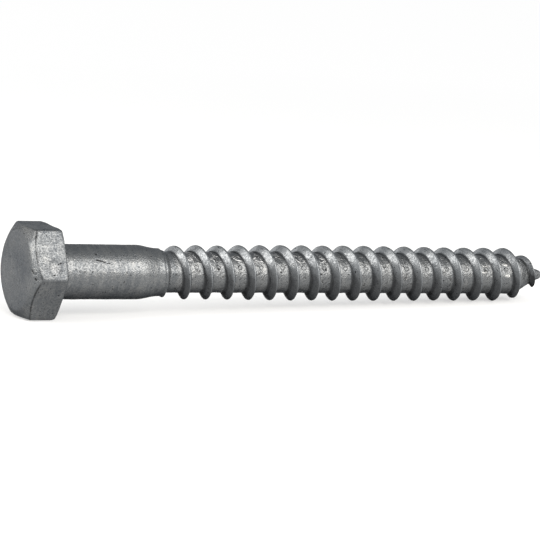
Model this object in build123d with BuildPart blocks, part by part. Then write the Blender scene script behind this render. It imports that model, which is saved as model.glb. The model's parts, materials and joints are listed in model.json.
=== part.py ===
from build123d import *
import os
from math import atan2, ceil, cos, floor, radians, sin, tan

# A 12 mm hot-dip galvanised lag screw, forged and rolled in one piece. It is built point
# upward with its bearing face on the XY plane, and is laid down at the end.

# Hexagon head
across_flats = 19.0
head_height = 7.5
head_land_diameter = 16.8
head_chamfer_angle = 31.0
corner_rounding = 0.45
edge_rounding = 0.3
under_head_bevel = 0.5

# Plain shank, and the neck that tapers down to the rolled thread
shank_diameter = 11.55
shank_length = 20.8
neck_diameter = 10.2
neck_length = 4.0

# Coarse right-hand wood thread
screw_length = 120.3
thread_diameter = 11.9
root_diameter = 8.66
pitch = 5.113
crest_flat = 0.26
flank_angle = 34.0
first_crest = 28.5
groove_run_out = 1.3
run_in_turns = 3

# Gimlet point
point_length = 11.3
point_cone_angle = 56.0
tip_diameter = 0.6
fin_setback = 0.75

# How finely the ridge is drawn where its height changes, and how far its foot sits in the core
sections_per_turn = 12
foot_share = 0.88

head_land_radius = head_land_diameter / 2
shank_radius = shank_diameter / 2
neck_radius = neck_diameter / 2
crest_radius = thread_diameter / 2
root_radius = root_diameter / 2
thread_start = shank_length + neck_length
full_thread_start = first_crest + run_in_turns * pitch
point_start = screw_length - point_length
ridge_end = screw_length - fin_setback
half_cone = radians(point_cone_angle / 2)
cone_apex = screw_length + tip_diameter / 2 / tan(half_cone)
cone_start = cone_apex - root_radius / tan(half_cone)


def core_at(height):
    return min(root_radius, (cone_apex - height) * tan(half_cone))


def crest_at(height):
    # The crest rises out of the neck, runs level, and closes in a parabola at the point
    if height < full_thread_start:
        left_to_rise = (full_thread_start - height) / (full_thread_start - thread_start)
        return crest_radius - (crest_radius - neck_radius) * left_to_rise**3
    if height > point_start:
        return crest_radius * (1 - ((height - point_start) / (cone_apex - point_start)) ** 2)
    return crest_radius


def ridge_plane(height):
    # Half plane through the axis at the turn where the crest has this height, x outward
    turn = radians(360 * (height - first_crest) / pitch)
    return Plane(
        origin=(0, 0, height),
        x_dir=(cos(turn), sin(turn), 0),
        z_dir=(sin(turn), -cos(turn), 0),
    )


def ridge_corners(height):
    crest = crest_at(height)
    foot = core_at(height) * foot_share
    half_foot = crest_flat / 2 + (crest - foot) * tan(radians(flank_angle))
    return [(foot, -half_foot), (crest, -crest_flat / 2), (crest, crest_flat / 2), (foot, half_foot)]


with BuildPart() as head:
    # One flat of the hexagon faces +X
    with BuildSketch() as hexagon:
        RegularPolygon(across_flats / 2, 6, major_radius=False, rotation=30)
        fillet(hexagon.vertices(), corner_rounding)
    extrude(amount=-head_height)
    fillet(head.faces().sort_by(Axis.Z)[-1].edges(), edge_rounding)
    # The top is turned to a round land and a shallow cone that cuts the six corners
    with BuildSketch(Plane.XZ):
        with BuildLine():
            cone_drop = (across_flats - head_land_radius) * tan(radians(head_chamfer_angle))
            Polyline(
                (0, 0),
                (0, -head_height),
                (head_land_radius, -head_height),
                (across_flats, cone_drop - head_height),
                (across_flats, 0),
                close=True,
            )
        make_face()
    revolve(axis=Axis.Z, mode=Mode.INTERSECT)

with BuildPart() as ridge:
    # Level part of the ridge, swept up its helix
    with BuildLine():
        Helix(pitch, point_start - full_thread_start, root_radius, center=(0, 0, full_thread_start))
    with BuildSketch(ridge_plane(full_thread_start)):
        with BuildLine():
            Polyline(*ridge_corners(full_thread_start), close=True)
        make_face()
    sweep(is_frenet=True)
    # Run-in from the neck and run-out round the gimlet point, lofted turn by turn
    for first, last in [(thread_start, full_thread_start), (point_start, ridge_end)]:
        steps = ceil(sections_per_turn * (last - first) / pitch)
        for step in range(steps + 1):
            height = first + (last - first) * step / steps
            with BuildSketch(ridge_plane(height)):
                with BuildLine():
                    Polyline(*ridge_corners(height), close=True)
                make_face()
        loft()

with BuildPart() as upright:
    add(head.part)
    with BuildSketch(Plane.XZ):
        with BuildLine():
            Polyline(
                (0, -under_head_bevel),
                (shank_radius + 2 * under_head_bevel, -under_head_bevel),
                (shank_radius, under_head_bevel),
                (shank_radius, shank_length),
                (neck_radius, thread_start),
                (root_radius, thread_start + groove_run_out),
                (root_radius, cone_start),
                (tip_diameter / 2, screw_length),
                (0, screw_length),
                close=True,
            )
        make_face()
    revolve(axis=Axis.Z)
    add(ridge.part)

# At rest the screw bears on one edge of its head and on the lowest crest near its point
turns_to_point = floor((screw_length - first_crest) / pitch)
low_crests = [first_crest + (turn + 0.5) * pitch for turn in range(turns_to_point)]
tilt = min(atan2(across_flats / 2 - crest_at(crest), crest) for crest in low_crests)
lying = Plane(origin=(0, 0, 0), x_dir=(sin(tilt), 0, cos(tilt)), z_dir=(cos(tilt), 0, -sin(tilt)))

with BuildPart() as lag_screw:
    with Locations(lying):
        add(upright.part)

os.makedirs("parts", exist_ok=True)
lag_screw.part.label = "lag_screw"
export_step(lag_screw.part, "parts/lag_screw.step")
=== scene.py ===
import json
import math

import bmesh
import bpy
from mathutils import Euler, Matrix, Vector, noise


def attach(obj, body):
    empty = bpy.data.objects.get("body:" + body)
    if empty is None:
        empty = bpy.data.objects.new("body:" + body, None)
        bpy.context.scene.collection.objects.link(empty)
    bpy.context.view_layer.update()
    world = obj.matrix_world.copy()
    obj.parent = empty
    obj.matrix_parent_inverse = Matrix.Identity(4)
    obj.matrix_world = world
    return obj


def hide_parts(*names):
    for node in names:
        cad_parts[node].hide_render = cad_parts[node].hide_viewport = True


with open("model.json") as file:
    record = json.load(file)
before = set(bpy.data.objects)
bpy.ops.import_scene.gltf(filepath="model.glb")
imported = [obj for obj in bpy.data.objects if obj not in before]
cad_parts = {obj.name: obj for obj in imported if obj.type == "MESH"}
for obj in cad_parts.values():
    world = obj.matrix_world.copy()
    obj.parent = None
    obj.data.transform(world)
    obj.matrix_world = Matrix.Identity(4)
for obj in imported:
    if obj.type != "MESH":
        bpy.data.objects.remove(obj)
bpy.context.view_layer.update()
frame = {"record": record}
print("frame loaded")

# The screw is shaped upright in millimetres, point up, and then laid on its side.
# X runs up through a flat, Y towards the front, Z from the bearing face to the point.
millimetre = 0.001


def between(value, low, high):
    # 0 below low, 1 above high, a soft slope in between
    t = min(1.0, max(0.0, (value - low) / (high - low)))
    return t * t * (3 - 2 * t)


def bell(distance, width):
    # 1 in the middle, fading out over about this width
    return math.exp(-(distance / width) ** 2)


def softMax(a, b, width):
    # the larger of two radii, with a fillet of about that width where they cross
    d = max(0.0, width - abs(a - b)) / width
    return max(a, b) + d * d * width * 0.25


def alongTable(table, x):
    # straight-line reading of a table of (x, y) pairs
    if x <= table[0][0]:
        return table[0][1]
    for (x0, y0), (x1, y1) in zip(table, table[1:]):
        if x <= x1:
            return y0 + (y1 - y0) * (x - x0) / (x1 - x0)
    return table[-1][1]


def lump(point, size, seed):
    # soft random relief, about -1 to 1, lumps roughly "size" across
    p = Vector(point) / size + Vector((seed * 7.31, seed * 3.17, seed * 1.73))
    return noise.fractal(p, 0.9, 2.1, 3)


def turnOf(point):
    # degrees round the axis, from the top towards the front
    return math.degrees(math.atan2(point.y, point.x)) % 360.0


def turnsApart(a, b):
    # degrees between two directions, the short way round
    return abs((a - b + 180) % 360 - 180)


def onCircle(turn, radius, height):
    angle = math.radians(turn)
    return Vector((radius * math.cos(angle), radius * math.sin(angle), height))


head = {
    "acrossFlats": 18.88,
    "height": 7.52,
    "landDiameter": 16.75,      # round end face inside the chamfer
    "chamferAngle": 31.4,
    "cornerRadius": 0.7,        # the six upright corners, full of zinc
    "landEase": 0.35,           # how far the end face rolls into the chamfer
    "chamferEase": (0.16, 0.30),    # rolling of the edges on the flats, and more at the corners
    "bearingEase": (0.42, 0.50),
    "bearingInner": 4.6,        # the bearing face ends here, inside the shank
    "flatDish": 0.05,           # forged flats are a touch hollow
    "lumps": ((0.035, 3.4), (0.018, 0.9)),      # height and size of the coarse and fine unevenness
    "offAxis": (0.19, -0.05),   # the head was struck a hair off the shank's middle
    "roll": 0.8,                # degrees about the axis
    "steps": 252,               # points round the head
    "crowding": 6.5,            # degrees by which they crowd at the corners
    "rows": (11, 6, 20, 6),     # rings on the end face, chamfer, side and bearing face
    "seamDirt": (0.62, 0.6),    # along the edge of the chamfer, and how patchy it is
    "chamferDirt": (0.20, 0.56),    # on the front, and by the top corner
    "cornerDirt": 0.42,         # on the corner under the front flat
    "endFaceDirt": 0.2,
    # knocks and dross along the chamfer: turn, distance from the axis, height, radius, depth
    "knocks": [
        (37.0, 10.15, -6.45, 0.36, 0.14),
        (33.0, 10.5, -6.35, 0.40, 0.08),
        (88.5, 10.6, -6.3, 0.34, 0.10),
        (104.0, 9.8, -6.8, 0.26, 0.07),
        (112.0, 9.5, -6.95, 0.22, 0.06),
        (126.0, 9.5, -7.0, 0.20, 0.05),
        (80.5, 8.45, -7.45, 0.24, 0.10),
        (85.0, 9.1, -7.05, 0.20, 0.10),
        (91.5, 9.4, -6.9, 0.26, 0.12),
    ],
}


def hexReach(turn):
    # distance from the axis to the side of the head in this direction
    half = head["acrossFlats"] / 2
    corner = head["cornerRadius"]
    halfFlat = math.radians(30)
    fromCorner = math.radians(abs(turn % 60.0 - 30.0))
    centre = (half - corner) / math.cos(halfFlat)
    arcEnd = math.atan2(corner * math.sin(halfFlat), centre + corner * math.cos(halfFlat))
    if fromCorner < arcEnd:
        aside = centre * math.sin(fromCorner)
        return centre * math.cos(fromCorner) + math.sqrt(corner ** 2 - aside ** 2)
    return half / math.cos(halfFlat - fromCorner)


def chamferRim(reach):
    # height at which the chamfer meets the side, where the side is this far out
    run = reach - head["landDiameter"] / 2
    return run * math.tan(math.radians(head["chamferAngle"])) - head["height"]


def roundedPath(corners, eases, counts):
    # walks a broken line and turns each inner corner into a short curve
    bendPoints = 4
    points = []
    start = corners[0]
    for i in range(1, len(corners)):
        here = corners[i]
        last = i == len(corners) - 1
        run = (here - corners[i - 1]).normalized()
        end = here if last else here - run * eases[i - 1]
        for k in range(counts[i - 1]):
            points.append(start.lerp(end, k / counts[i - 1]))
        if last:
            points.append(end)
            break
        leave = here + (corners[i + 1] - here).normalized() * eases[i - 1]
        for k in range(bendPoints):
            t = k / bendPoints
            points.append(end * (1 - t) ** 2 + here * 2 * t * (1 - t) + leave * t * t)
        start = leave
    return points


def headOutline(turn):
    # half section of the head in this direction, from the end face to under the head
    reach = hexReach(turn)
    land = head["landDiameter"] / 2
    corners = [
        Vector((0.0, -head["height"])),
        Vector((land, -head["height"])),
        Vector((reach, chamferRim(reach))),
        Vector((reach, 0.0)),
        Vector((head["bearingInner"], 0.0)),
    ]
    atCorner = bell(turn % 60.0 - 30.0, 7.0)
    eases = [min(head["landEase"], (reach - land) * 0.5)]
    eases += [flat + more * atCorner for flat, more in (head["chamferEase"], head["bearingEase"])]
    return roundedPath(corners, eases, head["rows"])


def makeHead(bm):
    # a line of points is spun into rings, and each point then finds its place on the outline
    rings = len(headOutline(0.0))
    line = [bm.verts.new((1.0, 0.0, float(i))) for i in range(rings)]
    edges = [bm.edges.new(pair) for pair in zip(line, line[1:])]
    bmesh.ops.spin(bm, geom=line + edges, cent=(0, 0, 0), axis=(0, 0, 1), dvec=(0, 0, 0),
                   angle=math.tau, steps=head["steps"], use_merge=True, use_duplicate=False)
    outlines = {}
    for v in bm.verts:
        even = turnOf(v.co)
        key = round(even, 3)
        if key not in outlines:
            turn = even + head["crowding"] * math.sin(math.radians(6 * even))
            outlines[key] = (turn, headOutline(turn))
        turn, outline = outlines[key]
        r, z = outline[int(round(v.co.z))]
        v.co = onCircle(turn, r, z)
    bmesh.ops.remove_doubles(bm, verts=bm.verts, dist=0.0005)
    rim = [e for e in bm.edges if e.is_boundary]
    bmesh.ops.holes_fill(bm, edges=rim, sides=0)
    bmesh.ops.recalc_face_normals(bm, faces=bm.faces)


def headDirt(place, turn, onSide):
    # how dirty the head is here, knocks apart
    land = head["landDiameter"] / 2
    r = math.hypot(place.x, place.y)
    z = place.z
    rim = chamferRim(hexReach(turn))
    thick, patchy = head["seamDirt"]
    seam = bell(z - rim - 0.12, 0.2) if r > land + 0.2 else 0.0
    onTopFlat = 1 - between(turnsApart(turn, 0), 26, 31)
    darkening = seam * (thick + patchy * lump(place, 0.9, 4)) * (1 - 0.7 * onTopFlat)
    # the chamfer is dull from the top corner down to the first knock
    onChamfer = between(r, land - 0.45, land + 0.05) * (1 - between(z, rim - 0.1, rim + 0.1))
    byTopCorner = 1 - between(turnsApart(turn, -20), 55, 63)
    clean, dull = head["chamferDirt"]
    darkening = max(darkening, onChamfer * (clean + (dull - clean) * byTopCorner))
    # and so is the corner under the front flat, towards the end face
    onCorner = bell(turn - 88.5, 1.6) * onSide * (1 - 0.6 * between(z, -4.5, -1.0))
    darkening = max(darkening, head["cornerDirt"] * onCorner)
    if z < 0.3 - head["height"] and r < land:
        darkening = max(darkening, head["endFaceDirt"])
    return darkening


def weatherHead(bm, grimeAndShade):
    bm.normal_update()
    (coarse, coarseSize), (fine, fineSize) = head["lumps"]
    knocks = [(onCircle(*place), size, depth) for *place, size, depth in head["knocks"]]
    moves = []
    for v in bm.verts:
        turn = turnOf(v.co)
        reach = hexReach(turn)
        fromEnd = v.co.z + head["height"]
        r = math.hypot(v.co.x, v.co.y)
        onSide = between(fromEnd, 0.6, 1.6) * between(r, reach - 0.3, reach - 0.1)
        darkening = headDirt(v.co, turn, onSide)
        push = coarse * lump(v.co, coarseSize, 1) + fine * lump(v.co, fineSize, 2)
        push -= head["flatDish"] * onSide * between(abs(turn % 60.0 - 30.0), 6, 26)
        for spot, size, depth in knocks:
            near = bell((v.co - spot).length, size)
            darkening = max(darkening, 0.95 * near)
            push -= depth * near
        v[grimeAndShade] = min(1.0, max(0.0, darkening))
        moves.append((v, v.normal * push))
    for v, move in moves:
        v.co += move
    shift = Matrix.Translation((*head["offAxis"], 0))
    roll = Matrix.Rotation(math.radians(head["roll"]), 4, "Z")
    bmesh.ops.transform(bm, matrix=shift @ roll, verts=bm.verts)


shaft = {
    "shankRadius": 5.775,
    "shankTaper": 0.03,         # it is thinner by this towards the neck
    "shankEnd": 20.8,
    "underHead": (0.95, 0.38),  # zinc gathered under the head, and how soon it thins out
    "neckRadius": 5.12,
    "neckEnd": 24.9,
    "neckLead": 0.6,            # the neck ends this much sooner on the upper front
    "neckLeadTurn": 60,         # where that is, in degrees from the top
    "rootRadius": 4.33,
    "rootZinc": 0.02,           # what the bath added there
    "rootDent": 0.04,           # the dies left a shallow dip halfway between crests
    "pitch": 5.113,
    "firstCrest": 28.5,         # height at which the crest passes over the top
    "crestHalf": 0.03,          # half the width of the crest's flat
    "crestRound": 0.16,
    "headFlank": 36.5,          # flank angles, from square to the axis
    "pointFlank": 25.5,
    "footFillet": (0.10, 0.12),     # towards the head, towards the point
    "finGrime": 0.35,           # dirt on the ridge where it closes in at the point
    "coneApex": 120.864,
    "coneHalfAngle": 28.0,
    "tip": 120.28,
    "lumps": (0.030, 0.045, 2.6),       # unevenness of the shank and the thread, and its size
    "fineLumps": (0.02, 0.06, 0.9),     # the same on smooth zinc and in the roots
    "steps": 84,                # points round a turn
    "bury": 0.35,               # how far the shank reaches into the head
    "bend": 0.065,              # the shank droops this little towards the head
    # radius of the crest against height, turn by turn
    "crest": [
        (24.9, 5.14), (26.2, 5.36), (28.5, 5.66), (31.1, 5.74), (33.6, 5.78), (38.7, 5.78),
        (43.8, 5.84), (49.0, 5.92), (54.1, 5.98), (64.3, 5.98), (74.5, 6.02), (79.6, 6.0),
        (84.7, 5.97), (89.9, 5.96), (95.0, 5.9), (100.1, 5.9), (105.2, 5.92), (109.0, 5.93),
        (110.4, 5.9), (112.8, 5.26), (115.4, 4.26), (117.0, 3.42), (118.1, 2.62), (118.9, 1.95),
        (119.6, 1.2), (120.3, 0.3),
    ],
    # radius of the bare nub at the tip
    "nub": [
        (118.2, 1.44), (118.8, 1.2), (119.3, 1.08), (119.7, 0.95), (120.0, 0.74), (120.2, 0.5),
        (120.3, 0.34),
    ],
}


def coreRadius(h):
    # the body under the thread
    neck = shaft["neckRadius"]
    neckEnd = shaft["neckEnd"]
    if h < neckEnd:
        thick, thins = shaft["underHead"]
        swell = thick * math.exp(-max(0.0, h) / thins)
        shank = shaft["shankRadius"] - shaft["shankTaper"] * between(h, 6, 20)
        sink = (shaft["shankRadius"] - neck) * between(h, shaft["shankEnd"] - 1.2, neckEnd - 0.5)
        return shank + swell - sink
    # the neck drops to the root in two steps
    step = neck - shaft["shankTaper"]
    root = shaft["rootRadius"] + shaft["rootZinc"]
    firstDrop = between(h, neckEnd - 0.5, neckEnd + 0.3)
    secondDrop = between(h, neckEnd + 0.5, neckEnd + 1.6)
    root += (step - root) * (1 - (0.45 * firstDrop + 0.55 * secondDrop))
    if h > shaft["nub"][0][0]:
        return min(root, alongTable(shaft["nub"], h))
    return min(root, (shaft["coneApex"] - h) * math.tan(math.radians(shaft["coneHalfAngle"])))


def crestOffset(h, turn):
    # distance along the axis from the middle of the nearest crest
    pitch = shaft["pitch"]
    d = (h - shaft["firstCrest"] - pitch * turn / 360.0) % pitch
    return d - pitch if d > pitch / 2 else d


def shaftRadius(h, turn):
    # distance from the axis, painted shade at the foot of the ridge and dirty zinc on the fin by the
    # point, and 1 on a bare root
    neckEnd = shaft["neckEnd"]
    lead = shaft["neckLead"] * max(0.0, math.cos(math.radians(turn - shaft["neckLeadTurn"])))
    core = coreRadius(h + lead * between(h, 17, 23) * (1 - between(h, 27, 31)))
    if h < neckEnd - 2.5:
        return core, 0.0, 0.0
    off = crestOffset(h, turn)
    sharp = between(h, 112, 118)        # the ridge thins to a fin at the point
    ease = shaft["crestRound"] * (1 - 0.75 * sharp)
    halfFlat = shaft["crestHalf"] * (1 - 0.9 * sharp)
    beyond = max(0.0, abs(off) - halfFlat)
    fall = math.sqrt(beyond ** 2 + ease ** 2) - ease
    flank = shaft["headFlank"] if off < 0 else shaft["pointFlank"]
    ridge = alongTable(shaft["crest"], h - off * 0.5) - fall / math.tan(math.radians(flank))
    ridge -= 3.0 * (1 - between(h - off, neckEnd - 1.2, neckEnd + 0.8))     # none on the shank
    r = softMax(core, ridge, shaft["footFillet"][off > 0])
    r -= shaft["rootDent"] * bell(abs(off) - shaft["pitch"] / 2, 0.6) * between(h, 27, 30)
    # painted shade: a dark line in the corner at the foot of the head-side flank
    foot = bell(core - ridge, 0.3) * between(h, 25, 29) if off < 0 else 0.0
    foot = max(foot, shaft["finGrime"] * sharp * (ridge > core))
    bare = between(core - ridge, 0.0, 0.5) * between(h, 25, 28)
    return r, foot, bare


def laneOffsets():
    # points along one pitch, crowded on the ridge, from halfway between two crests
    side = [0.1, 0.2, 0.28, 0.36, 0.44, 0.52, 0.6, 0.68, 0.76, 0.84, 0.91, 0.98, 1.08, 1.26]
    side += [1.5, 1.78, 2.06, 2.32, shaft["pitch"] / 2]
    return [-x for x in reversed(side)] + [0.0] + side


def makeShaft(bm):
    # one pitch of the surface as a straight line, carried round and up once like a wrapped strip
    pitch = shaft["pitch"]
    first = shaft["firstCrest"] - 6 * pitch
    line = [bm.verts.new((5.0, 0.0, first + x)) for x in laneOffsets()]     # the true radius comes later
    edges = [bm.edges.new(pair) for pair in zip(line, line[1:])]
    bmesh.ops.spin(bm, geom=line + edges, cent=(0, 0, 0), axis=(0, 0, 1),
                   dvec=(0, 0, pitch / shaft["steps"]), angle=math.tau, steps=shaft["steps"],
                   use_merge=False, use_duplicate=False)
    for turns in (1, 2, 4, 8, 16):      # each copy sits on top of what is there
        copied = bmesh.ops.duplicate(bm, geom=bm.verts[:] + bm.edges[:] + bm.faces[:])["geom"]
        upper = [g for g in copied if isinstance(g, bmesh.types.BMVert)]
        bmesh.ops.translate(bm, vec=(0, 0, pitch * turns), verts=upper)
    bmesh.ops.remove_doubles(bm, verts=bm.verts, dist=0.004)
    for height, normal in ((-shaft["bury"], (0, 0, -1)), (shaft["tip"], (0, 0, 1))):
        bmesh.ops.bisect_plane(bm, geom=bm.verts[:] + bm.edges[:] + bm.faces[:], dist=0.0005,
                               plane_co=(0, 0, height), plane_no=normal, clear_outer=True)
    bmesh.ops.remove_doubles(bm, verts=bm.verts, dist=0.004)
    for height in (-shaft["bury"], shaft["tip"]):
        ring = [e for e in bm.edges if e.is_boundary and abs(e.verts[0].co.z - height) < 0.01]
        bmesh.ops.holes_fill(bm, edges=ring, sides=0)
    bmesh.ops.recalc_face_normals(bm, faces=bm.faces)


def shapeShaft(bm, grimeAndShade, grain):
    bareness = []
    for v in bm.verts:
        turn = turnOf(v.co)
        h = v.co.z
        r, foot, bare = shaftRadius(h, turn)
        bareness.append(bare)
        v[grimeAndShade] = foot
        # the tops of the roots are crumpled, most of all towards the head
        crumpled = 0.4 * bare * between(math.cos(math.radians(turn)), 0.5, 0.8)
        crumpled *= 1 - 0.75 * between(h, 55, 78)
        v[grain] = 0.5 + (bare + crumpled - 0.5) * between(h, 25, 28)
        droop = shaft["bend"] * (1 - between(h, 10, 60))
        v.co = onCircle(turn, r, h) - Vector((droop, 0, 0))
    bm.normal_update()
    onShank, onThread, coarseSize = shaft["lumps"]
    onSmooth, inRoots, fineSize = shaft["fineLumps"]
    moves = []
    for v, bare in zip(bm.verts, bareness):
        h = v.co.z
        coarse = onShank + (onThread - onShank) * between(h, 24.0, 27.0)
        fine = onSmooth + (inRoots - onSmooth) * bare
        push = coarse * lump(v.co, coarseSize, 5) + fine * lump(v.co, fineSize, 6)
        push *= between(h, 0.2, 1.0) * (1 - between(h, 119.0, 120.2))
        moves.append((v, v.normal * push))
    for v, move in moves:
        v.co += move


zinc = {
    "metallic": 0.92,
    "deep": (0.088, 0.096, 0.105),      # dull patches
    "plain": (0.119, 0.128, 0.139),
    "bright": (0.212, 0.214, 0.212),    # fresh spangle
    "rolled": (0.202, 0.213, 0.224),    # the ridges, polished by the dies
    "folded": (0.42, 0.42, 0.42),       # die marks and crumpled lines
    "glint": (0.45, 0.45, 0.44),        # burnished spots
    "shade": (0.067, 0.071, 0.076),
    # near black for pits, marks, dirty zinc and painted shade
    "dirtMarksAndShade": (0.018, 0.018, 0.019),
    "edgeTint": (0.48, 0.49, 0.51),     # how little the rims flare
    "cloudScale": 0.13,                 # per millimetre
    "mottleScale": 0.65,
    "speckScale": 2.7,
    "pinholeScale": 1.7,
    "rootPitScale": 1.3,
    "foldScale": 0.5,
    "streakStretch": (1.1, 0.13, 0.13),
    "cloudShare": 0.3,
    "streakShare": 0.35,
    "speckShare": 0.3,
    "ridgePolish": 0.6,                 # share of the rolled tone on the ridges
    "rootPolish": 0.24,                 # and of the bright one in the roots
    "roughness": (0.52, 0.22),          # on the dull and on the bright patches
    "rootShine": 0.07,                  # the dies left the roots this much shinier
    "relief": (0.30, 1.55),             # on the smoothest and the roughest zinc
    "reliefDepth": 0.13,                # millimetres
    "wobble": 0.25,                     # millimetres by which marks stray from a true line
    "wobbleScale": 1.9,
}

# knocks and scratches, as short strokes in millimetres: from, to, half width
strokes = {
    "upperNick": ((-7.40, -7.90, 1.95), (-7.22, -8.55, 1.30), 0.13),
    "lowerNick": ((-7.02, -9.15, 0.30), (-6.92, -9.36, -0.15), 0.16),
    "shankScratch": ((8.47, -4.69, 2.98), (10.17, -4.95, 2.52), 0.14),
    "shankScratchEnd": ((10.69, -5.10, 2.24), (11.71, -5.16, 2.08), 0.07),
    "rootPitOne": ((26.96, -4.34, -0.65), (27.11, -4.35, -0.87), 0.14),
    "rootPitTwo": ((29.48, -4.01, 0.71), (29.65, -4.07, 0.57), 0.12),
    "rootPitThree": ((36.93, -4.08, 0.30), (37.10, -4.16, 0.05), 0.20),
    "rootPitFour": ((62.82, -4.06, -0.51), (62.99, -4.12, -0.68), 0.13),
    "rootPitFive": ((103.10, -4.08, -1.88), (103.50, -4.08, -1.89), 0.16),
}

# bright burnished spots by the point
glints = {
    "lastRootUpper": ((108.20, -3.25, -0.67), (109.00, -3.42, -0.90), 0.30),
    "lastRootLower": ((108.50, -4.34, -3.26), (109.50, -4.34, -3.34), 0.26),
    "nextRootUpper": ((102.80, -3.61, -0.96), (103.80, -3.66, -1.06), 0.16),
    "nextRootLower": ((102.50, -4.22, -2.33), (103.40, -4.21, -2.32), 0.20),
}

# what the rolling dies left in every root: turn, height past the crest, radius, line width
dieMarks = {
    "ring": (66.0, 2.50, 0.48, 0.16),
    "upperMark": (28.0, 2.65, 0.36, 0.16),
}

# a ring left in the zinc on the front flat
swirl = {
    "middle": (-2.84, -9.60, 2.15),
    "radius": 1.35,
    "line": (0.06, 0.36),               # half width of the dark line, in full and faded out
    "squash": (1.0, 1.0, 0.55),         # it is taller than it is wide
    "inside": (0.27, 0.27, 0.27),
    "insideShare": 0.45,
    "lineShare": 0.55,
}

# the screw lies with its axis dipping to the point, and these are its own Z, X and Y then
axis = next(m["axis"] for m in frame["record"]["mounts"] if m["name"] == "shank")
dip = math.atan2(-axis[2], axis[0])
pointWay = Vector((math.cos(dip), 0, -math.sin(dip)))
upWay = Vector((math.sin(dip), 0, math.cos(dip)))
frontWay = Vector((0, -1, 0))

# all from here to makeZinc add their nodes to this one finish
galvanised = bpy.data.materials.new("hotDipZinc")
galvanised.use_nodes = True
zincNodes = galvanised.node_tree.nodes
zincLinks = galvanised.node_tree.links


def feed(value, socket):
    # wires another node in, or writes a plain number, vector or colour
    if isinstance(value, bpy.types.NodeSocket):
        zincLinks.new(value, socket)
    elif socket.type == "RGBA":
        socket.default_value = (*value, 1)
    else:
        socket.default_value = value


def maths(kind, *values):
    m = zincNodes.new("ShaderNodeMath")
    m.operation = kind
    for value, socket in zip(values, m.inputs):
        feed(value, socket)
    return m.outputs[0]


def vectors(kind, *values):
    m = zincNodes.new("ShaderNodeVectorMath")
    m.operation = kind
    for value, socket in zip(values, m.inputs):
        feed(value, socket)
    return m.outputs["Value" if kind in ("DOT_PRODUCT", "DISTANCE") else "Vector"]


def scaled(value, low, high, outLow=0.0, outHigh=1.0):
    m = zincNodes.new("ShaderNodeMapRange")
    for name, number in (("From Min", low), ("From Max", high), ("To Min", outLow), ("To Max", outHigh)):
        m.inputs[name].default_value = number
    feed(value, m.inputs["Value"])
    return m.outputs["Result"]


def nearTo(value, target, full, gone):
    # 1 where the value is within "full" of the target, 0 beyond "gone"
    return scaled(maths("ABSOLUTE", maths("SUBTRACT", value, target)), full, gone, 1.0, 0.0)


def mixColour(a, b, share):
    m = zincNodes.new("ShaderNodeMix")
    m.data_type = "RGBA"
    for value, socket in ((share, m.inputs[0]), (a, m.inputs[6]), (b, m.inputs[7])):
        feed(value, socket)
    return m.outputs[2]


def mixNumbers(a, b, share):
    m = zincNodes.new("ShaderNodeMix")
    for value, socket in ((share, m.inputs[0]), (a, m.inputs[2]), (b, m.inputs[3])):
        feed(value, socket)
    return m.outputs[0]


def ramp(value, stops):
    r = zincNodes.new("ShaderNodeValToRGB")
    while len(r.color_ramp.elements) < len(stops):
        r.color_ramp.elements.new(0.5)
    for element, (place, colour) in zip(r.color_ramp.elements, stops):
        element.position = place
        element.color = (*colour, 1)
    feed(value, r.inputs["Fac"])
    return r.outputs["Color"]


def attribute(name):
    a = zincNodes.new("ShaderNodeAttribute")
    a.attribute_name = name
    return a.outputs["Fac"]


def stretched(vector, scale):
    m = zincNodes.new("ShaderNodeMapping")
    m.inputs["Scale"].default_value = scale
    feed(vector, m.inputs["Vector"])
    return m.outputs["Vector"]


inMillimetres = stretched(zincNodes.new("ShaderNodeTexCoord").outputs["Object"], (1 / millimetre,) * 3)


def noiseAt(scale, detail, rough, distortion=0.0, stretch=None):
    n = zincNodes.new("ShaderNodeTexNoise")
    n.inputs["Scale"].default_value = scale
    n.inputs["Detail"].default_value = detail
    n.inputs["Roughness"].default_value = rough
    n.inputs["Distortion"].default_value = distortion
    feed(stretched(inMillimetres, stretch) if stretch else inMillimetres, n.inputs["Vector"])
    return n.outputs["Fac"]


def shaken():
    # millimetres pushed about a little, so that no mark looks drawn with a ruler
    shaker = zincNodes.new("ShaderNodeTexNoise")
    shaker.inputs["Scale"].default_value = zinc["wobbleScale"]
    feed(inMillimetres, shaker.inputs["Vector"])
    wobble = zinc["wobble"]
    push = vectors("MULTIPLY_ADD", shaker.outputs["Color"], (2 * wobble,) * 3, (-wobble,) * 3)
    return vectors("ADD", inMillimetres, push)


wobbly = shaken()


def stroke(start, end, width):
    # 1 along a short worn line, 0 away from it
    run = Vector(end) - Vector(start)
    fromStart = vectors("SUBTRACT", wobbly, start)
    along = scaled(vectors("DOT_PRODUCT", fromStart, run), 0, run.length_squared)
    reached = zincNodes.new("ShaderNodeVectorMath")
    reached.operation = "SCALE"
    feed(run, reached.inputs[0])
    feed(along, reached.inputs["Scale"])
    away = vectors("DISTANCE", fromStart, reached.outputs[0])
    return scaled(away, width * 0.5, width * 1.6, 1.0, 0.0)


def dieMark(turn, past, radius, width):
    # a small ring that comes round once in every pitch of the thread
    pitch = shaft["pitch"]
    height = shaft["firstCrest"] + pitch * turn / 360 + past
    along = vectors("DOT_PRODUCT", wobbly, pointWay)
    here = zincNodes.new("ShaderNodeCombineXYZ")
    feed(vectors("DOT_PRODUCT", wobbly, upWay), here.inputs[0])
    feed(vectors("DOT_PRODUCT", wobbly, frontWay), here.inputs[1])
    feed(maths("WRAP", along, height + pitch / 2, height - pitch / 2), here.inputs[2])
    away = vectors("DISTANCE", here.outputs[0], onCircle(turn, shaft["rootRadius"], height))
    return nearTo(away, radius, 0.0, width)


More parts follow.
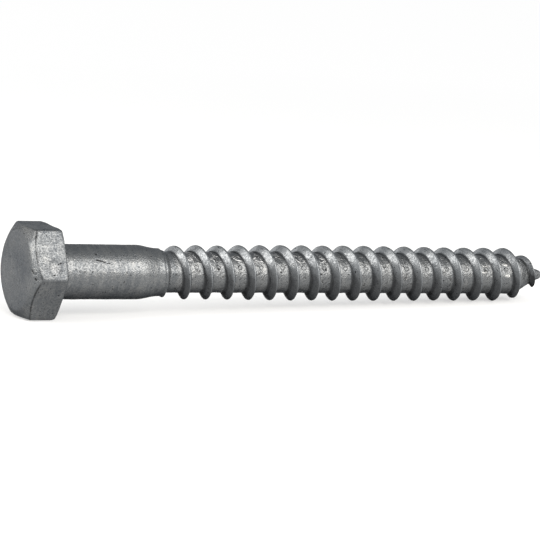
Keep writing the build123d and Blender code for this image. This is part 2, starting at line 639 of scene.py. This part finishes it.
def plainTone(mottle, specks, grain):
    # the mottled grey that the bath left, before any marks
    deep, bright = zinc["deep"], zinc["bright"]
    clouds = noiseAt(zinc["cloudScale"], 2, 0.5)
    streaks = noiseAt(1.0, 3, 0.55, stretch=zinc["streakStretch"])
    tone = ramp(mottle, [(0.36, deep), (0.5, zinc["plain"]), (0.66, bright)])
    tone = mixColour(tone, ramp(clouds, [(0.4, deep), (0.6, bright)]), zinc["cloudShare"])
    tone = mixColour(tone, ramp(streaks, [(0.38, deep), (0.64, bright)]), zinc["streakShare"])
    tone = mixColour(tone, ramp(specks, [(0.38, deep), (0.62, bright)]), zinc["speckShare"])
    # the dies polished the ridges, and the roots a little
    tone = mixColour(tone, zinc["rolled"], scaled(grain, 0.0, 0.4, zinc["ridgePolish"], 0.0))
    return mixColour(tone, bright, scaled(grain, 0.7, 1.0, 0.0, zinc["rootPolish"]))


def swirlTone(tone):
    squash = swirl["squash"]
    middle = tuple(a * b for a, b in zip(swirl["middle"], squash))
    away = vectors("DISTANCE", vectors("MULTIPLY", wobbly, squash), middle)
    inside = scaled(away, swirl["radius"] * 0.3, swirl["radius"] * 0.9, swirl["insideShare"], 0.0)
    rim = nearTo(away, swirl["radius"], *swirl["line"])
    tone = mixColour(tone, swirl["inside"], inside)
    return mixColour(tone, zinc["shade"], maths("MULTIPLY", rim, swirl["lineShare"]))


def pitsAndKnocks(grain):
    # pinholes everywhere, more of them in the roots, and the strokes listed above
    pits = scaled(noiseAt(zinc["pinholeScale"], 1, 0.5), 0.70, 0.76)
    inRoots = scaled(grain, 0.6, 1.0)
    rootPits = maths("MULTIPLY", scaled(noiseAt(zinc["rootPitScale"], 2, 0.5), 0.60, 0.70), inRoots)
    marks = maths("MAXIMUM", pits, maths("MULTIPLY", rootPits, 0.6))
    for start, end, width in strokes.values():
        marks = maths("MAXIMUM", marks, stroke(start, end, width))
    return marks


def burnishedSpots():
    spots = 0.0
    for start, end, width in glints.values():
        spots = maths("MAXIMUM", spots, stroke(start, end, width))
    return spots


def makeZinc():
    # grain is 0 on the ridges, 0.5 on the head and shank, 1 in the roots, more where they crumpled
    grain = attribute("grain")
    # dirty zinc, knocks and the painted shade at the ridge feet and on the underside darken the colour
    darkening = scaled(attribute("dirtMarksAndShade"), 0.1, 1.0, 0.0, 0.85)
    mottle = noiseAt(zinc["mottleScale"], 6, 0.7, 0.2)
    specks = noiseAt(zinc["speckScale"], 2, 0.5, 0.3)
    marks = pitsAndKnocks(grain)
    burnished = burnishedSpots()
    ring = dieMark(*dieMarks["ring"])
    broken = scaled(noiseAt(0.9, 1, 0.5), 0.42, 0.56)
    upper = maths("MULTIPLY", dieMark(*dieMarks["upperMark"]), broken)
    # fine bright lines where the roots are crumpled
    folds = nearTo(noiseAt(zinc["foldScale"], 1, 0.4, 0.6), 0.5, 0.0, 0.07)
    crumple = maths("MULTIPLY", folds, scaled(grain, 1.05, 1.40))

    tone = swirlTone(plainTone(mottle, specks, grain))
    tone = mixColour(tone, zinc["dirtMarksAndShade"], maths("MULTIPLY", marks, 0.9))
    tone = mixColour(tone, zinc["glint"], maths("MULTIPLY", burnished, 0.8))
    tone = mixColour(tone, zinc["dirtMarksAndShade"], maths("MULTIPLY", ring, 0.3))
    tone = mixColour(tone, zinc["folded"], maths("MAXIMUM", upper, crumple))
    shader = zincNodes["Principled BSDF"]
    shader.inputs["Metallic"].default_value = zinc["metallic"]
    feed(mixColour(tone, zinc["dirtMarksAndShade"], darkening), shader.inputs["Base Color"])
    feed(mixColour(zinc["edgeTint"], zinc["dirtMarksAndShade"], darkening), shader.inputs["Specular Tint"])

    roughness = scaled(mixNumbers(mottle, specks, 0.65), 0.40, 0.60, *zinc["roughness"])
    shine = scaled(grain, 0.6, 1.0, 0.0, zinc["rootShine"])
    feed(maths("SUBTRACT", roughness, shine), shader.inputs["Roughness"])

    # the ridges were rolled smooth, the roots stay rough
    relief = mixNumbers(mottle, specks, 0.6)
    for mark, lift in ((marks, -0.35), (ring, -0.25), (burnished, 0.5), (upper, 1.5), (crumple, 0.7)):
        relief = maths("MULTIPLY_ADD", mark, lift, relief)
    bump = zincNodes.new("ShaderNodeBump")
    bump.inputs["Distance"].default_value = zinc["reliefDepth"] * millimetre
    feed(scaled(grain, 0.0, 1.0, *zinc["relief"]), bump.inputs["Strength"])
    feed(relief, bump.inputs["Height"])
    feed(bump.outputs["Normal"], shader.inputs["Normal"])
    print("zinc mixed,", len(zincNodes), "nodes")


# painted shade on the side the screw lies on
lyingShade = {
    "undersideShade": 0.82,         # how dark the painted shade on the side it lies on gets
    "endFace": 0.5,         # the end face gets this share of that painted shade
}


def newShell():
    # an empty mesh with two layers: dirty zinc, marks and painted shade, and how rough the zinc is
    bm = bmesh.new()
    for name in ("dirtMarksAndShade", "grain"):
        bm.verts.layers.float.new(name)
    layers = bm.verts.layers.float
    return bm, layers["dirtMarksAndShade"], layers["grain"]


def paintUndersideShade(bm, grimeAndShade, grain):
    # painted shade: darker on the side it lies on and towards the bottom, the ridges most
    for v in bm.verts:
        ridge = between(0.5 - v[grain], 0.1, 0.5)
        facing = -v.normal.z - (0.2 + 0.35 * ridge) * min(0.0, v.normal.x)
        under = between(facing, 0.1, 0.92 - 0.14 * ridge) * (0.82 + 0.18 * ridge)
        low = -(v.co.z + v.co.x * math.tan(dip)) / (shaft["rootRadius"] * millimetre)
        under = max(under, 0.7 * ridge * between(low, -0.1, 1.2))
        if v.co.x < 0 and v.normal.x < -0.5:
            under *= lyingShade["endFace"]
        v[grimeAndShade] = min(1.0, v[grimeAndShade] + lyingShade["undersideShade"] * under)


def lagScrew():
    bm, grimeAndShade, grain = newShell()
    makeHead(bm)
    weatherHead(bm, grimeAndShade)
    for v in bm.verts:
        v[grain] = 0.5
    print("head shaped,", len(bm.faces), "faces")

    body, bodyGrimeAndShade, bodyGrain = newShell()
    makeShaft(body)
    shapeShaft(body, bodyGrimeAndShade, bodyGrain)
    print("shank, thread and point shaped,", len(body.faces), "faces")
    part = bpy.data.meshes.new("shaftPart")
    body.to_mesh(part)
    body.free()
    bm.from_mesh(part)
    bpy.data.meshes.remove(part)
    bmesh.ops.triangulate(bm, faces=[f for f in bm.faces if len(f.verts) > 4])

    # upright to lying: the point along +X, the first crest on top
    laid = Matrix((upWay, frontWay, pointWay)).transposed().to_4x4()
    bmesh.ops.transform(bm, matrix=Matrix.Scale(millimetre, 4) @ laid, verts=bm.verts)
    bm.normal_update()
    paintUndersideShade(bm, grimeAndShade, grain)
    for f in bm.faces:
        f.smooth = True
    mesh = bpy.data.meshes.new("lagScrewZinc")
    bm.to_mesh(mesh)
    bm.free()
    screw = bpy.data.objects.new("lagScrewZinc", mesh)
    bpy.context.scene.collection.objects.link(screw)
    mesh.materials.append(galvanised)
    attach(screw, "root")
    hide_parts("lag_screw")
    return screw


makeZinc()
screw = lagScrew()
triangles = sum(len(p.vertices) - 2 for p in screw.data.polygons)
print("screw in place,", triangles, "triangles")


studio = {
    "floorColour": (0.88, 0.88, 0.88),
    "floorSize": 6.0,
    "floorMiddle": 0.06,            # metres along X from the bearing face
    "floorWhite": (0.44, 0.97),     # share of plain white seen in the floor, by the screw and far away
    "floorFade": (0.1, 0.5),        # metres over which the one turns into the other
    "roomColour": (0.95, 0.98, 1.0),
    "roomLight": 0.62,
    "lampColour": (1.0, 0.965, 0.915),
    "lampMiddle": 0.055,            # metres along X from the bearing face
}

# where each stands from the middle of the screw (metres), width, height, power
softBoxes = {
    "leftSoftBox": ((-0.447, 0.050, 0.225), 0.36, 0.38, 2.3),
    "rightSoftBox": ((0.075, -0.420, 0.250), 0.66, 0.42, 4.3),
    "backSoftBox": ((-0.300, 0.660, 0.160), 0.90, 0.36, 2.4),
    "pointSoftBox": ((0.500, 0.020, 0.110), 0.50, 0.20, 0.55),
}


def paleFloor(middle):
    # the camera and the metal see it nearly white, with the soft shadow still in it
    mat = bpy.data.materials.new("paleFloor")
    mat.use_nodes = True
    nodes, links = mat.node_tree.nodes, mat.node_tree.links
    shader = nodes["Principled BSDF"]
    shader.inputs["Base Color"].default_value = (*studio["floorColour"], 1)
    shader.inputs["Roughness"].default_value = 0.9
    shader.inputs["Specular IOR Level"].default_value = 0.0
    ray = nodes.new("ShaderNodeLightPath")
    seen = ray.outputs["Is Camera Ray"]
    for other in ("Is Glossy Ray", "Is Transmission Ray"):
        either = nodes.new("ShaderNodeMath")
        either.operation = "MAXIMUM"
        links.new(seen, either.inputs[0])
        links.new(ray.outputs[other], either.inputs[1])
        seen = either.outputs[0]
    where = nodes.new("ShaderNodeTexCoord")
    away = nodes.new("ShaderNodeVectorMath")
    away.operation = "DISTANCE"
    away.inputs[1].default_value = middle
    links.new(where.outputs["Object"], away.inputs[0])
    fade = nodes.new("ShaderNodeMapRange")
    numbers = (*studio["floorFade"], *studio["floorWhite"])
    for name, number in zip(("From Min", "From Max", "To Min", "To Max"), numbers):
        fade.inputs[name].default_value = number
    links.new(away.outputs["Value"], fade.inputs["Value"])
    share = nodes.new("ShaderNodeMath")
    share.operation = "MULTIPLY"
    links.new(seen, share.inputs[0])
    links.new(fade.outputs["Result"], share.inputs[1])
    white = nodes.new("ShaderNodeEmission")
    blend = nodes.new("ShaderNodeMixShader")
    links.new(share.outputs[0], blend.inputs[0])
    links.new(shader.outputs[0], blend.inputs[1])
    links.new(white.outputs[0], blend.inputs[2])
    links.new(blend.outputs[0], nodes["Material Output"].inputs["Surface"])
    return mat


def makeFloor():
    lowest = min(v.co.z for v in screw.data.vertices)
    middle = (studio["floorMiddle"], 0, lowest)
    bm = bmesh.new()
    bmesh.ops.create_grid(bm, x_segments=2, y_segments=2, size=studio["floorSize"] / 2)
    bmesh.ops.translate(bm, vec=middle, verts=bm.verts)
    mesh = bpy.data.meshes.new("studioFloor")
    bm.to_mesh(mesh)
    bm.free()
    mesh.materials.append(paleFloor(middle))
    floor = bpy.data.objects.new("studioFloor", mesh)
    bpy.context.scene.collection.objects.link(floor)


def softBox(name, place, width, height, power):
    data = bpy.data.lights.new(name, "AREA")
    data.shape = "RECTANGLE"
    data.size = width
    data.size_y = height
    data.energy = power
    data.color = studio["lampColour"]
    lamp = bpy.data.objects.new(name, data)
    lamp.location = Vector((studio["lampMiddle"], 0, 0)) + Vector(place)
    lamp.rotation_euler = Vector(place).to_track_quat("Z", "Y").to_euler()
    bpy.context.scene.collection.objects.link(lamp)


def makeRoom():
    world = bpy.data.worlds.new("paleRoom")
    world.use_nodes = True
    room = world.node_tree.nodes["Background"]
    room.inputs["Color"].default_value = (*studio["roomColour"], 1)
    room.inputs["Strength"].default_value = studio["roomLight"]
    bpy.context.scene.world = world


makeFloor()
for name, setting in softBoxes.items():
    softBox(name, *setting)
makeRoom()
print("floor and", len(softBoxes), "soft boxes in place")


viewpoint = {
    "place": (-0.241344, -0.559083, 0.105764),
    "turn": (80.37257, -3.28245, -27.08109),     # degrees
    "lens": 198.508,
    "sensor": 36,
}


def makeCamera():
    data = bpy.data.cameras.new("mainCamera")
    data.sensor_width = viewpoint["sensor"]
    data.lens = viewpoint["lens"]
    camera = bpy.data.objects.new("mainCamera", data)
    camera.location = viewpoint["place"]
    camera.rotation_euler = Euler([math.radians(x) for x in viewpoint["turn"]])
    bpy.context.scene.collection.objects.link(camera)
    bpy.context.scene.camera = camera


makeCamera()
bpy.context.scene.view_settings.view_transform = "Standard"
